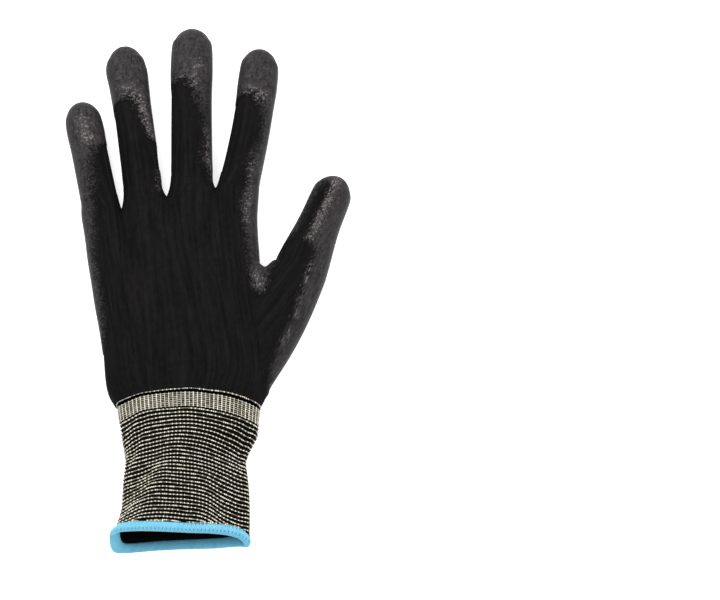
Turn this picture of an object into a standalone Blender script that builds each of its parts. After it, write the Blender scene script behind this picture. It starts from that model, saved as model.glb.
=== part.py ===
# A left-hand work glove, knitted in nylon with a dipped palm coating, lying palm down.
# Fingers point to +Y, the thumb to +X, the back of the hand faces up, and z = 0 is the surface
# that the glove lies on. The origin is under the middle of the palm, on the wrist's centre line.
import math

import bmesh
import bpy
from mathutils import Vector

# Driving dimensions, in metres and degrees. These are the knit's outer sizes, without coating.
PALM_LENGTH = 0.1040        # wrist line to the highest fork, between middle and index finger
PALM_THICKNESS = 0.0240     # at the middle of the hand
PALM_FROM_WRIST = 0.0540    # how far the origin lies from the wrist line
WRIST_WIDTH = 0.0640
KNUCKLE_OFFSET = 0.0085     # knuckles' centre from the wrist's centre, towards the little finger
WEB_WIDTH = 0.0046          # knit between two finger roots

LITTLE_WIDTH = 0.0152
LITTLE_LENGTH = 0.0535      # fork to tip
LITTLE_LEAN = -11.2         # towards the thumb where positive
LITTLE_BOW = 0.0            # how far the finger's middle stands out towards the thumb
RING_WIDTH = 0.0160
RING_LENGTH = 0.0765
RING_LEAN = -7.6
RING_BOW = 0.0003
MIDDLE_WIDTH = 0.0173
MIDDLE_LENGTH = 0.0795
MIDDLE_LEAN = -0.3
MIDDLE_BOW = -0.0004
INDEX_WIDTH = 0.0162
INDEX_LENGTH = 0.0690
INDEX_LEAN = 8.8
INDEX_BOW = 0.0013
FINGER_THICKNESS = 0.0146
FINGER_ARCH = 0.0012        # how far a finger's middle lifts off the surface
ROOT_STUB = 0.0060          # length of finger root that belongs to the hand

THUMB_WIDTH = 0.0164
THUMB_LENGTH = 0.0485       # thumb's root section to its tip
THUMB_LEAN = 20.8
THUMB_BOW = 0.0
THUMB_THICKNESS = 0.0160
THUMB_REACH = 0.0180        # hand's edge to the centre of the thumb's root section
THUMB_ROOT_DROP = 0.0012    # thumb's root section below the fork of the thumb
BALL_BULGE = 0.0018         # how far the ball of the thumb stands out

CUFF_LENGTH = 0.0588        # wrist line to the hem, pale band included
CUFF_THICKNESS = 0.0200
BAND_LENGTH = 0.0065        # pale band at the top of the cuff
COURSE_BOW = 0.0026         # how far the wrist line arches up in the middle of the back
MOUTH_LIP = 0.0056          # how far the cuff's lower wall stands out at the mouth
MOUTH_SLANT = 0.0020        # how much lower the mouth ends on the thumb side
HEM_HEIGHT = 0.0044
HEM_THICKNESS = 0.0030
HEM_FLARE = 0.0026          # how far the hem spreads outwards on the little finger's side

KNIT_WALL = 0.0012
CUFF_WALL = 0.0016
COATING_WALL = 0.0006
SEAM_GAP = 0.0003           # between two pieces that meet
REST_PRESS = 0.0014         # how deep a round underside is pressed flat by its own weight
SKIN_LIFT = SEAM_GAP + COATING_WALL  # the knit lies this high, on its coating

FINGERS = {
    # name: width, length, lean, bow
    "little_finger": (LITTLE_WIDTH, LITTLE_LENGTH, LITTLE_LEAN, LITTLE_BOW),
    "ring_finger": (RING_WIDTH, RING_LENGTH, RING_LEAN, RING_BOW),
    "middle_finger": (MIDDLE_WIDTH, MIDDLE_LENGTH, MIDDLE_LEAN, MIDDLE_BOW),
    "index_finger": (INDEX_WIDTH, INDEX_LENGTH, INDEX_LEAN, INDEX_BOW),
}
FINGER_NAMES = list(FINGERS)
PIECES = ["hand_body"] + FINGER_NAMES + ["thumb"]

# A section's faces, in order: over the back, down the thumb-side edge, under the palm side, and
# up the far edge. The hand has a finger's back faces four times, so that each finger continues.
BACK_FACES = 4
EDGE_FACES = 4
HAND_FACES = BACK_FACES * len(FINGERS)
EDGE_ANGLE = 30.0           # where the back ends and the edge begins, from the horizontal
SECTION_POWER = 2.5         # of the hand and fingers: 2 is an ellipse, more is boxier
BACK_SIDES = range(0, BACK_FACES)
THUMB_EDGE = range(BACK_FACES, BACK_FACES + EDGE_FACES)
PALM_SIDES = range(BACK_FACES + EDGE_FACES, 2 * BACK_FACES + EDGE_FACES)
FAR_EDGE = range(2 * BACK_FACES + EDGE_FACES, 2 * (BACK_FACES + EDGE_FACES))

# Rows of the hand from the wrist to the forks. along is a share of the palm's length, the bulges
# are shares of the wrist's width outside a straight edge, and thick is a share of the palm's.
HAND_ROWS = [
    # along, bulge_left, bulge_right, thick
    (0.000, 0.000, 0.000, 0.84),
    (0.045, 0.028, 0.028, 0.89),
    (0.100, 0.036, 0.050, 0.93),
    (0.230, 0.021, 0.046, 0.98),
    (0.365, 0.015, 0.036, 1.00),
    (0.500, 0.017, 0.022, 1.00),
    (0.635, 0.014, 0.010, 0.97),
    (0.760, 0.011, -0.006, 0.91),
    (0.880, 0.003, -0.012, 0.84),
    (1.000, 0.000, 0.000, 0.76),
]
THUMB_LOW_ROW = 2           # rows of the hand between which the thumb leaves it
THUMB_FORK_ROW = THUMB_LOW_ROW + BACK_FACES

# Forks from the hand's outer edge to its thumb edge: height as a share of the palm's length.
FORK_HEIGHTS = [0.880, 0.896, 0.962, 0.994, 0.985]
FORK_SPAN = 0.52            # a fork's height through the hand, as a share of the hand's thickness
FORK_SAG = 0.0045           # how far a fork's ends run down into the valleys between the fingers
VALLEY_START = 0.70         # where those valleys begin, as a share of the palm's length

# Sections of a finger. along is a share of its length, width and thick of its own sizes.
FINGER_ROWS = [
    # along, width, thick
    (0.200, 1.01, 1.04),
    (0.340, 1.00, 1.00),
    (0.480, 0.99, 0.98),
    (0.620, 0.99, 0.97),
    (0.750, 1.02, 0.96),
]
THUMB_ROWS = [
    # along, width, thick
    (0.130, 1.33, 1.06),
    (0.280, 1.22, 1.03),
    (0.430, 1.11, 1.00),
    (0.580, 1.04, 0.98),
    (0.700, 1.02, 0.96),
]
FINGER_ROOT = (1.03, 1.09)  # width and thick at the end of the root that belongs to the hand
THUMB_ROOT = (1.40, 1.10)   # width and thick of the thumb's root section
THUMB_BRIDGE = [0.36, 0.70]  # sections between the hand's edge and the thumb's root section
TIP_ANGLES = [30.0, 57.0]   # sections of the round fingertip
TIP_REACH = 1.08            # a tip's length as a share of half its finger's width
TIP_CENTRE = 0.46           # height of a tip's centre, as a share of the finger's thickness
TIP_SINK = 0.70             # how fast a tip gets thinner: 1 as fast as it gets narrower, 0 never

# Rows of the cuff from the wrist to the hem: edges as shares of the wrist's width from its centre,
# thickness at each edge as shares of the cuff's, and the power of its section.
CUFF_ROWS = [
    # along, left, right, thick_left, thick_right, power
    (0.00, -0.490, 0.507, 1.01, 1.01, 2.5),
    (0.13, -0.475, 0.497, 1.00, 0.98, 2.3),
    (0.26, -0.455, 0.487, 0.98, 0.92, 2.7),
    (0.35, -0.440, 0.446, 0.97, 0.86, 2.9),
    (0.45, -0.428, 0.411, 0.96, 0.80, 2.7),
    (0.58, -0.436, 0.420, 0.96, 0.78, 2.3),
    (0.72, -0.444, 0.432, 0.98, 0.74, 2.5),
    (0.86, -0.450, 0.436, 1.00, 0.68, 2.8),
    (1.00, -0.485, 0.436, 1.02, 0.60, 3.1),
]
LIP_TAPER = 0.9             # share of the mouth's lip that is lost on the way to the thumb side
MOUTH_RAMP = 4              # how late the mouth's lip and slant begin, as a power
HEM_SIDES = 8

BLACK_KNIT = ((0.012, 0.012, 0.013), 0.90)      # colour and roughness
CHARCOAL_COATING = ((0.045, 0.044, 0.046), 0.50)
CREAM_KNIT = ((0.550, 0.520, 0.420), 0.85)
BLUE_THREAD = ((0.100, 0.420, 0.720), 0.70)


def lerp(a, b, share):
    return a + (b - a) * share


def table_row(rows, along):
    """A row of the table at any place along it, between its neighbours."""
    for low, high in zip(rows, rows[1:]):
        if along <= high[0]:
            share = (along - low[0]) / (high[0] - low[0])
            return [lerp(a, b, share) for a, b in zip(low, high)]
    return list(rows[-1])


def section_angles(back_faces):
    """Angles in degrees of a section's points, clockwise from the far end of its back."""
    step = (180 - 2 * EDGE_ANGLE) / back_faces
    back = [180 - EDGE_ANGLE - k * step for k in range(back_faces)]
    edge = [EDGE_ANGLE - k * 2 * EDGE_ANGLE / EDGE_FACES for k in range(EDGE_FACES)]
    half = back + edge
    return half + [angle - 180 for angle in half]


def rounded(angle, power=SECTION_POWER):
    """Place across and up, each from -1 to 1, of a section's point at an angle."""
    turn = math.radians(angle)
    return [math.copysign(abs(value) ** (2 / power), value)
            for value in (math.cos(turn), math.sin(turn))]


def pressed(up, thick):
    """Height of a section's point over its rest, with the underside pressed flat."""
    return max(0.0, lerp(-REST_PRESS, thick, (1 + up) / 2))


def fork_places():
    """Places along X of the hand's far edge, the forks between the fingers and its thumb edge."""
    ends = (FINGER_NAMES[0], FINGER_NAMES[-1])
    roots = [FINGERS[name][0] + WEB_WIDTH * (0.5 if name in ends else 1.0) for name in FINGERS]
    places = [-KNUCKLE_OFFSET - sum(roots) / 2]
    for root in roots:
        places.append(places[-1] + root)
    return places


def fork_y(height):
    return height * PALM_LENGTH - PALM_FROM_WRIST


def knuckle_columns():
    """Place along X and height up the hand of each point over the back, at the finger roots."""
    places = fork_places()
    inset = (places[-1] - places[0]) / 2 * (1 - rounded(EDGE_ANGLE)[0])
    places = [places[0] + inset] + places[1:-1] + [places[-1] - inset]
    columns = []
    for k in range(HAND_FACES + 1):
        finger = min(k // BACK_FACES, len(FINGERS) - 1)
        share = k / BACK_FACES - finger
        columns.append((lerp(places[finger], places[finger + 1], share),
                        lerp(FORK_HEIGHTS[finger], FORK_HEIGHTS[finger + 1], share)))
    return columns


def back_column(k):
    """Number over the back of a hand section's point, or None on the edges."""
    if k <= HAND_FACES:
        return k
    under = 2 * HAND_FACES + EDGE_FACES - k
    return under if 0 <= under <= HAND_FACES else None


def hand_section(along):
    """One section of the hand, from the wrist (0) to the finger roots (1)."""
    _, bulge_left, bulge_right, thick_share = table_row(HAND_ROWS, along)
    places = fork_places()
    left = lerp(-WRIST_WIDTH / 2, places[0], along) - bulge_left * WRIST_WIDTH
    right = lerp(WRIST_WIDTH / 2, places[-1], along) + bulge_right * WRIST_WIDTH
    thick = thick_share * PALM_THICKNESS
    middle, half = (left + right) / 2, (right - left) / 2
    knuckle_middle, knuckle_half = (places[0] + places[-1]) / 2, (places[-1] - places[0]) / 2
    columns = knuckle_columns()
    ease = along * along * (3 - 2 * along)
    points = []
    for k, angle in enumerate(section_angles(HAND_FACES)):
        across, up = rounded(angle)
        column = back_column(k)
        if column is None:
            height = FORK_HEIGHTS[-1 if k < 2 * HAND_FACES else 0]
        else:
            place, height = columns[column]
            across = lerp(across, (place - knuckle_middle) / knuckle_half, ease)
        if column not in (None, 0, HAND_FACES):
            rise = (1 - abs(across) ** SECTION_POWER) ** (1 / SECTION_POWER)
            up = math.copysign(rise, up)
        y = lerp(-PALM_FROM_WRIST, fork_y(height), along)
        y += COURSE_BOW * max(0.0, up) ** 2 * (1 - along) ** 2
        points.append(Vector((middle + across * half, y, SKIN_LIFT + pressed(up, thick))))
    sink_valleys(points, along, thick)
    return points


def sink_valleys(points, along, thick):
    """Lets the knit dip between the finger roots, on the back and on the palm side."""
    depth = max(0.0, (along - VALLEY_START) / (1 - VALLEY_START)) ** 2
    middle = SKIN_LIFT + thick / 2
    for fork in range(1, len(FINGERS)):
        upper = points[fork * BACK_FACES]
        lower = points[2 * HAND_FACES + EDGE_FACES - fork * BACK_FACES]
        upper.z = lerp(upper.z, middle + FORK_SPAN * thick / 2, depth)
        lower.z = lerp(lower.z, middle - FORK_SPAN * thick / 2, depth)
        upper.y -= FORK_SAG * depth
        lower.y -= FORK_SAG * depth


def finger_frame(root, lean, bow):
    """A finger's root, its directions along and across, and its bow."""
    angle = math.radians(lean)
    along = Vector((math.sin(angle), math.cos(angle), 0))
    across = Vector((math.cos(angle), -math.sin(angle), 0))
    return root, along, across, bow


def finger_section(frame, share, length, width, thick):
    """One section of a finger, at a share of its length."""
    root, along, across, bow = frame
    swing = math.sin(math.pi * share)
    base = root + along * share * length + across * bow * swing
    base.z = SKIN_LIFT + FINGER_ARCH * swing
    points = []
    for angle in section_angles(BACK_FACES):
        side, up = rounded(angle)
        points.append(base + across * side * width / 2 + Vector((0, 0, pressed(up, thick))))
    return points


def tip_section(frame, angle, length, width, thick):
    """One section of the round fingertip, at an angle from its start to its end."""
    turn = math.radians(angle)
    share = 1 - TIP_REACH * width / 2 * (1 - math.sin(turn)) / length
    points = finger_section(frame, share, length, width * math.cos(turn), thick)
    middle = SKIN_LIFT + TIP_CENTRE * thick
    for point in points:
        point.z = lerp(middle, point.z, math.cos(turn) ** TIP_SINK)
    return points


def cuff_section(along, shift=0.0, grow=0.0):
    """One section of the cuff, shift further down, with its outline grown by grow."""
    _, left, right, thick_left, thick_right, power = table_row(CUFF_ROWS, along)
    left = left * WRIST_WIDTH - grow - HEM_FLARE * shift / HEM_HEIGHT
    right = right * WRIST_WIDTH + grow
    points = []
    for angle in section_angles(HAND_FACES):
        across, up = rounded(angle, power)
        side = (1 + across) / 2
        thick = lerp(thick_left, thick_right, side) * CUFF_THICKNESS + 2 * grow
        y = -PALM_FROM_WRIST - along * CUFF_LENGTH - shift
        y += COURSE_BOW * max(0.0, up) ** 2 * (1 - along)
        y -= MOUTH_LIP * max(0.0, -up) ** 2 * (1 - LIP_TAPER * side ** 2) * along ** MOUTH_RAMP
        y -= MOUTH_SLANT * side ** 2 * along ** MOUTH_RAMP
        z = max(0.0, SKIN_LIFT - grow + pressed(up, thick))
        points.append(Vector((lerp(left, right, side), y, z)))
    return points


class Knit:
    """A growing sheet whose faces carry the piece they belong to and whether they are coated."""

    def __init__(self):
        self.bm = bmesh.new()
        self.piece = self.bm.faces.layers.int.new("piece")
        self.coated = self.bm.faces.layers.int.new("coated")

    def ring(self, points):
        return [self.bm.verts.new(point) for point in points]

    def face(self, corners, piece, coated):
        made = self.bm.faces.new(corners)
        made[self.piece] = piece
        made[self.coated] = int(coated)

    def bridge(self, low, high, piece=0, coated=lambda side: False, skip=lambda side: False):
        """Faces between two closed rings of points, the second further along the tube."""
        for k in range(len(low)):
            n = (k + 1) % len(low)
            if not skip(k):
                self.face((low[k], low[n], high[n], high[k]), piece, coated(k))

    def cap(self, ring, piece, dome):
        """Closes a fingertip with a grid of faces, pushed out by dome in the middle."""
        top = ring[:BACK_FACES + 1]
        right = ring[BACK_FACES:BACK_FACES + EDGE_FACES + 1]
        bottom = ring[BACK_FACES + EDGE_FACES:2 * BACK_FACES + EDGE_FACES + 1][::-1]
        left = (ring[2 * BACK_FACES + EDGE_FACES:] + ring[:1])[::-1]
        grid = [top]
        for i in range(1, EDGE_FACES):
            row = [left[i]]
            for j in range(1, BACK_FACES):
                s, t = j / BACK_FACES, i / EDGE_FACES
                down = lerp(top[j].co, bottom[j].co, t)
                over = lerp(left[i].co, right[i].co, s)
                rise = 1 - ((2 * s - 1) ** 2 + (2 * t - 1) ** 2) / 2
                row.append(self.bm.verts.new((down + over) / 2 + dome * rise))
            grid.append(row + [right[i]])
        grid.append(bottom)
        for upper, lower in zip(grid, grid[1:]):
            for j in range(BACK_FACES):
                self.face((upper[j], upper[j + 1], lower[j + 1], lower[j]), piece, True)


def finger_is_coated(name, side, row, tip_row):
    """The coating covers the palm side and the tip, and comes round the edges differently."""
    if side in PALM_SIDES or row >= tip_row:
        return True
    if side in THUMB_EDGE:
        low_half = side >= THUMB_EDGE[EDGE_FACES // 2]
        return name in ("index_finger", "thumb") or (row > 0 and (name != "little_finger" or low_half))
    if side in FAR_EDGE:
        low_half = side < FAR_EDGE[EDGE_FACES // 2]
        return name == "little_finger" or (row > 0 and low_half)
    if name == "little_finger":
        return side == BACK_SIDES[0]
    return name in ("index_finger", "thumb") and side == BACK_SIDES[-1]


def hand_is_coated(side, row):
    """The coating covers the palm from above the wrist, both edges and a little of the back."""
    far_edge = 2 * HAND_FACES + EDGE_FACES
    if HAND_FACES <= side < far_edge:
        return row > 0
    if side >= far_edge or side == 0:
        return row > THUMB_LOW_ROW
    return side == HAND_FACES - 1 and row >= THUMB_FORK_ROW


def ball_is_coated(side):
    """The ball of the thumb is coated all round but for most of its back."""
    return side not in BACK_SIDES or side == BACK_SIDES[-1]


def add_finger(knit, name, loop, frame, size, rows, stub):
    """A finger from the loop of points at its root, over a stub that the hand keeps, to its tip."""
    width, length, thick = size
    piece = PIECES.index(name)
    tip_row = len(rows)
    previous = loop
    for row, (share, wide, deep) in enumerate([stub] + rows):
        ring = knit.ring(finger_section(frame, share, length, wide * width, deep * thick))
        owner = piece if row else PIECES.index("hand_body")
        knit.bridge(previous, ring, owner,
                    lambda side, r=row: finger_is_coated(name, side, r, tip_row))
        previous = ring
    _, wide, deep = rows[-1]
    for angle in TIP_ANGLES:
        ring = knit.ring(tip_section(frame, angle, length, wide * width, deep * thick))
        knit.bridge(previous, ring, piece, lambda side: True)
        previous = ring
    left_over = TIP_REACH * width / 2 * (1 - math.sin(math.radians(TIP_ANGLES[-1])))
    knit.cap(previous, piece, frame[1] * left_over)


def add_fork(knit, upper, lower, height):
    """Points of a fork's line through the hand, from its back end to its palm end."""
    middle = (upper.co + lower.co) / 2
    points = [upper]
    for k in range(1, EDGE_FACES):
        place = lerp(upper.co, lower.co, k / EDGE_FACES)
        away = abs(2 * k / EDGE_FACES - 1)
        place.y = lerp(fork_y(height), middle.y, away ** 2)
        points.append(knit.bm.verts.new(place))
    return points + [lower]


def add_hand(knit):
    """The hand from the wrist to the forks, then its fingers and the thumb."""
    rows = [knit.ring(hand_section(row[0])) for row in HAND_ROWS]
    thumb_sides = range(HAND_FACES, HAND_FACES + EDGE_FACES)
    thumb_rows = range(THUMB_LOW_ROW, THUMB_FORK_ROW)
    for row, (low, high) in enumerate(zip(rows, rows[1:])):
        knit.bridge(low, high, PIECES.index("hand_body"),
                    lambda side, r=row: hand_is_coated(side, r),
                    lambda side, r=row: side in thumb_sides and r in thumb_rows)
    top = rows[-1]
    under = 2 * HAND_FACES + EDGE_FACES
    forks = [[top[0]] + top[:under - 1:-1]]
    for k in range(1, len(FINGERS)):
        forks.append(add_fork(knit, top[k * BACK_FACES], top[under - k * BACK_FACES],
                              FORK_HEIGHTS[k]))
    forks.append(top[HAND_FACES:HAND_FACES + EDGE_FACES + 1])
    places = fork_places()
    for k, (name, (width, length, lean, bow)) in enumerate(FINGERS.items()):
        start = k * BACK_FACES
        back = top[start:start + BACK_FACES]
        palm = top[under - start - BACK_FACES:under - start]
        loop = back + forks[k + 1][:-1] + palm + forks[k][:0:-1]
        root_y = fork_y((FORK_HEIGHTS[k] + FORK_HEIGHTS[k + 1]) / 2)
        root = Vector(((places[k] + places[k + 1]) / 2, root_y, 0))
        add_finger(knit, name, loop, finger_frame(root, lean, bow),
                   (width, length, FINGER_THICKNESS), FINGER_ROWS,
                   (ROOT_STUB / length, *FINGER_ROOT))
    add_thumb(knit, rows)


def add_thumb(knit, rows):
    """The ball of the thumb, bridged from the hand's open edge, and the thumb itself."""
    corner = HAND_FACES + EDGE_FACES
    low, high = rows[THUMB_LOW_ROW], rows[THUMB_FORK_ROW]
    back = [rows[r][HAND_FACES] for r in range(THUMB_FORK_ROW, THUMB_LOW_ROW, -1)]
    palm = [rows[r][corner] for r in range(THUMB_LOW_ROW, THUMB_FORK_ROW)]
    loop = back + low[HAND_FACES:corner] + palm + high[corner:HAND_FACES:-1]
    fork = high[HAND_FACES + EDGE_FACES // 2].co
    root = Vector((fork.x + THUMB_REACH, fork.y - THUMB_ROOT_DROP, 0))
    frame = finger_frame(root, THUMB_LEAN, THUMB_BOW)
    wide, deep = THUMB_ROOT
    end = finger_section(frame, 0.0, THUMB_LENGTH, wide * THUMB_WIDTH, deep * THUMB_THICKNESS)
    start = [vert.co.copy() for vert in loop]
    previous = loop
    for share in THUMB_BRIDGE + [1.0]:
        points = [lerp(a, b, share) for a, b in zip(start, end)]
        for k, point in enumerate(points):
            from_outer = (k - THUMB_EDGE[EDGE_FACES // 2]) / (BACK_FACES + EDGE_FACES)
            bulge = max(0.0, math.cos(math.pi * from_outer)) * math.sin(math.pi * share)
            point += frame[2] * BALL_BULGE * bulge
        ring = knit.ring(points)
        knit.bridge(previous, ring, PIECES.index("hand_body"), ball_is_coated)
        previous = ring
    stub_share = ROOT_STUB / 2 / THUMB_LENGTH
    part_way = stub_share / THUMB_ROWS[0][0]
    stub = [lerp(a, b, part_way) for a, b in zip(THUMB_ROOT, THUMB_ROWS[0][1:])]
    add_finger(knit, "thumb", previous, frame, (THUMB_WIDTH, THUMB_LENGTH, THUMB_THICKNESS),
               THUMB_ROWS, (stub_share, *stub))


def remember_directions(bm):
    """Keeps each point's way out of the cloth, and marks the seams between pieces."""
    bmesh.ops.delete(bm, geom=[vert for vert in bm.verts if not vert.link_faces], context="VERTS")
    bm.normal_update()
    piece = bm.faces.layers.int["piece"]
    outward = bm.verts.layers.float_vector.new("outward")
    seam = bm.verts.layers.int.new("seam")
    for vert in bm.verts:
        vert[outward] = vert.normal
        vert[seam] = int(len({face[piece] for face in vert.link_faces}) > 1)


def extracted(source, index, coated_only=False):
    """A copy of the sheet with only one piece's faces, or only the coated ones of them."""
    bm = source.copy()
    piece = bm.faces.layers.int["piece"]
    coated = bm.faces.layers.int["coated"]
    unwanted = [face for face in bm.faces
                if face[piece] != index or (coated_only and not face[coated])]
    bmesh.ops.delete(bm, geom=unwanted, context="FACES")
    return bm


def open_seam(bm, direction):
    """Pulls a finger's open end back from the hand by the seam's gap."""
    seam = bm.verts.layers.int["seam"]
    for vert in bm.verts:
        if vert[seam]:
            vert.co += direction * SEAM_GAP


def thicken(bm, inner, outer):
    """Makes a closed wall of an open sheet, between two distances along its points' directions."""
    outward = bm.verts.layers.float_vector["outward"]
    faces = list(bm.faces)
    loops = [edge.link_loops[0] for edge in bm.edges if edge.is_boundary]
    rim = [(loop.vert, loop.link_loop_next.vert) for loop in loops]
    inside = {vert: bm.verts.new(vert.co + vert[outward] * inner) for vert in list(bm.verts)}
    for vert in inside:
        vert.co += vert[outward] * outer
    for face in faces:
        bm.faces.new([inside[vert] for vert in reversed(face.verts)])
    for a, b in rim:
        bm.faces.new((b, a, inside[a], inside[b]))


def material(name, finish):
    colour, roughness = finish
    made = bpy.data.materials.new(name)
    made.use_nodes = True
    shader = made.node_tree.nodes["Principled BSDF"]
    shader.inputs["Base Color"].default_value = (*colour, 1.0)
    shader.inputs["Roughness"].default_value = roughness
    shader.inputs["Metallic"].default_value = 0.0
    return made


def cloth_object(name, bm, finish):
    mesh = bpy.data.meshes.new(name)
    bm.to_mesh(mesh)
    bm.free()
    mesh.shade_smooth()
    mesh.materials.append(material(name, finish))
    made = bpy.data.objects.new(name, mesh)
    bpy.context.scene.collection.objects.link(made)


def tube_object(name, sections, finish):
    """An open tube of elastic cloth through the sections, given from the wrist down."""
    knit = Knit()
    rings = [knit.ring(points) for points in reversed(sections)]
    for low, high in zip(rings, rings[1:]):
        knit.bridge(low, high)
    remember_directions(knit.bm)
    thicken(knit.bm, -CUFF_WALL, 0.0)
    cloth_object(name, knit.bm, finish)


def hem_object(finish):
    """The bound edge: a bead all round the mouth, a seam's gap below the cuff."""
    knit = Knit()
    rings = []
    for k in range(HEM_SIDES):
        angle = math.radians((k + 0.5) * 360 / HEM_SIDES)
        drop = SEAM_GAP + HEM_HEIGHT / 2 * (1 - math.sin(angle))
        out = HEM_THICKNESS / 2 * math.cos(angle) - CUFF_WALL / 2
        rings.append(knit.ring(cuff_section(1.0, drop, out)))
    for low, high in zip(rings, rings[1:] + rings[:1]):
        knit.bridge(low, high)
    bmesh.ops.recalc_face_normals(knit.bm, faces=knit.bm.faces)
    cloth_object("hem", knit.bm, finish)


def glove_objects():
    """The hand, its fingers and thumb, each with its own stretch of coating."""
    knit = Knit()
    add_hand(knit)
    remember_directions(knit.bm)
    bmesh.ops.triangulate(knit.bm, faces=knit.bm.faces)
    leans = [lean for _, _, lean, _ in FINGERS.values()] + [THUMB_LEAN]
    for index, name in enumerate(PIECES):
        cloth = extracted(knit.bm, index)
        skin = extracted(knit.bm, index, coated_only=True)
        if index:
            along = finger_frame(Vector(), leans[index - 1], 0.0)[1]
            open_seam(cloth, along)
            open_seam(skin, along)
        thicken(cloth, -KNIT_WALL, 0.0)
        thicken(skin, SEAM_GAP, SKIN_LIFT)
        cloth_object(name, cloth, BLACK_KNIT)
        skin_name = name + "_coating" if index else "palm_coating"
        cloth_object(skin_name, skin, CHARCOAL_COATING)
    knit.bm.free()


def cuff_objects():
    """The pale band at the wrist, the elastic cuff and its bound edge."""
    gap = SEAM_GAP / CUFF_LENGTH
    band_end = BAND_LENGTH / CUFF_LENGTH
    band = [gap, band_end / 2, band_end]
    cuff = [band_end + gap] + [row[0] for row in CUFF_ROWS if row[0] > band_end + gap]
    tube_object("wrist_band", [cuff_section(along) for along in band], CREAM_KNIT)
    tube_object("cuff", [cuff_section(along) for along in cuff], BLACK_KNIT)
    hem_object(BLUE_THREAD)


for old in list(bpy.data.objects):
    bpy.data.objects.remove(old)
glove_objects()
cuff_objects()
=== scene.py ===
# The looks of a left-hand work glove: fine black knit, a dipped palm and fingertips,
# a striped elastic cuff and a blue overlocked edge. Lengths are in millimetres.
import math

import bpy
import numpy as np
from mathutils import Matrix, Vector, noise


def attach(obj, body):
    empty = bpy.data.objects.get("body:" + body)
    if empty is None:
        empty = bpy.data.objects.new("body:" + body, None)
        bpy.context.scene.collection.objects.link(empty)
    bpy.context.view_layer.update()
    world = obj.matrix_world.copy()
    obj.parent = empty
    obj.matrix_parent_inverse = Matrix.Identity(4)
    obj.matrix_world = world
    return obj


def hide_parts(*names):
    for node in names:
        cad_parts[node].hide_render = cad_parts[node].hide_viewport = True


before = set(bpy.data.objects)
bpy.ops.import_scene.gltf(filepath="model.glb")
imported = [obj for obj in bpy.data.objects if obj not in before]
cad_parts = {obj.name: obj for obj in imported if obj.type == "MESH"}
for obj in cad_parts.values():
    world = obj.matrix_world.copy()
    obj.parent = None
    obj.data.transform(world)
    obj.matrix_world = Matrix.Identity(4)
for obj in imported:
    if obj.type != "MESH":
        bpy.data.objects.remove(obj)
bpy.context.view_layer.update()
print("frame loaded")

mm = 0.001
backFaces = 4      # across the back of a finger; the hand has four times as many
edgeFaces = 4      # from the back to the palm side
edgeAngle = 30.0   # where the back ends and the edge begins
# the camera: degrees from straight above, then metres, with the film in mm
view = {"tilt": 22.0, "distance": 4.0, "width": 0.324, "centre": 0.0771, "film": 36, "reach": 20}
sightSlope = math.tan(math.radians(view["tilt"]))


def mix(a, b, share):
    return a + (b - a) * share


def smooth(low, high, value):
    t = np.clip((value - low) / (high - low), 0, 1)
    return t * t * (3 - 2 * t)


def tableAt(rows, along, column):
    # one column of a table at one or many places, on a smooth curve through its rows
    places, values = rows[:, 0], rows[:, column]
    k = np.clip(np.searchsorted(places, along, "right") - 1, 0, len(places) - 2)
    step = places[k + 1] - places[k]
    slopes = np.gradient(values, places)
    t = np.clip((along - places[k]) / step, 0, 1)
    start, end = 2 * t**3 - 3 * t**2 + 1, 3 * t**2 - 2 * t**3
    leave, arrive = t**3 - 2 * t**2 + t, t**3 - t**2
    return (start * values[k] + leave * step * slopes[k]
            + end * values[k + 1] + arrive * step * slopes[k + 1])


def rowAt(rows, along):
    # all columns of a table but the first, at one place
    rows = np.array(rows, float)
    return [tableAt(rows, along, column) for column in range(1, rows.shape[1])]


def sectionAngles(faces):
    step = (180 - 2 * edgeAngle) / faces
    back = [180 - edgeAngle - k * step for k in range(faces)]
    edge = [edgeAngle - k * 2 * edgeAngle / edgeFaces for k in range(edgeFaces)]
    half = back + edge
    return half + [angle - 180 for angle in half]


def rounded(angle, power):
    # place across and up a section, each from -1 to 1
    turn = math.radians(angle)
    return [math.copysign(abs(value) ** (2 / power), value) for value in (math.cos(turn), math.sin(turn))]


def placed(name, data):
    # a new object in the scene
    made = bpy.data.objects.new(name, data)
    bpy.context.scene.collection.objects.link(made)
    return made


def newPiece(name, mesh, nodes, surface):
    made = placed(name, mesh)
    mesh.materials.append(surface)
    mesh.shade_smooth()
    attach(made, "root")
    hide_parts(*nodes)
    return made


def meshFrom(name, points, faces, columns=None):
    mesh = bpy.data.meshes.new(name)
    mesh.from_pydata(np.asarray(points) * mm, [], faces)
    if columns is not None:
        knit = mesh.uv_layers.new(name="knit")
        knit.data.foreach_set("uv", np.asarray(columns, float).ravel())
    mesh.update()
    return mesh


def markPoints(mesh, name, values):
    mesh.attributes.new(name, "FLOAT", "POINT").data.foreach_set("value", values)


hand = {
    "palmLength": 104.0, "palmThickness": 24.0, "fromWrist": 54.0, "wristWidth": 64.0,
    "knuckleOffset": 8.5, "web": 4.6, "press": 1.4, "lift": 0.35, "power": 2.5,
    "overlap": 0.1, "wristFade": 3,
    "forks": [0.880, 0.896, 0.962, 0.994, 0.985],
    "forkSpan": 0.52, "forkSag": 4.5, "valleyStart": 0.70,
    # along, bulge left, bulge right, thickness
    "rows": [
        (0.000, 0.000, 0.000, 0.84), (0.045, 0.028, 0.040, 0.89), (0.100, 0.036, 0.078, 0.93),
        (0.230, 0.021, 0.070, 0.98), (0.365, 0.015, 0.048, 1.00), (0.500, 0.017, 0.026, 1.00),
        (0.635, 0.014, 0.010, 0.97), (0.760, 0.011, -0.006, 0.91), (0.880, 0.003, -0.012, 0.84),
        (1.000, 0.000, 0.000, 0.76),
    ],
    "thumbRows": (0.100, 0.635),  # between them the thumb leaves the hand
}
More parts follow.
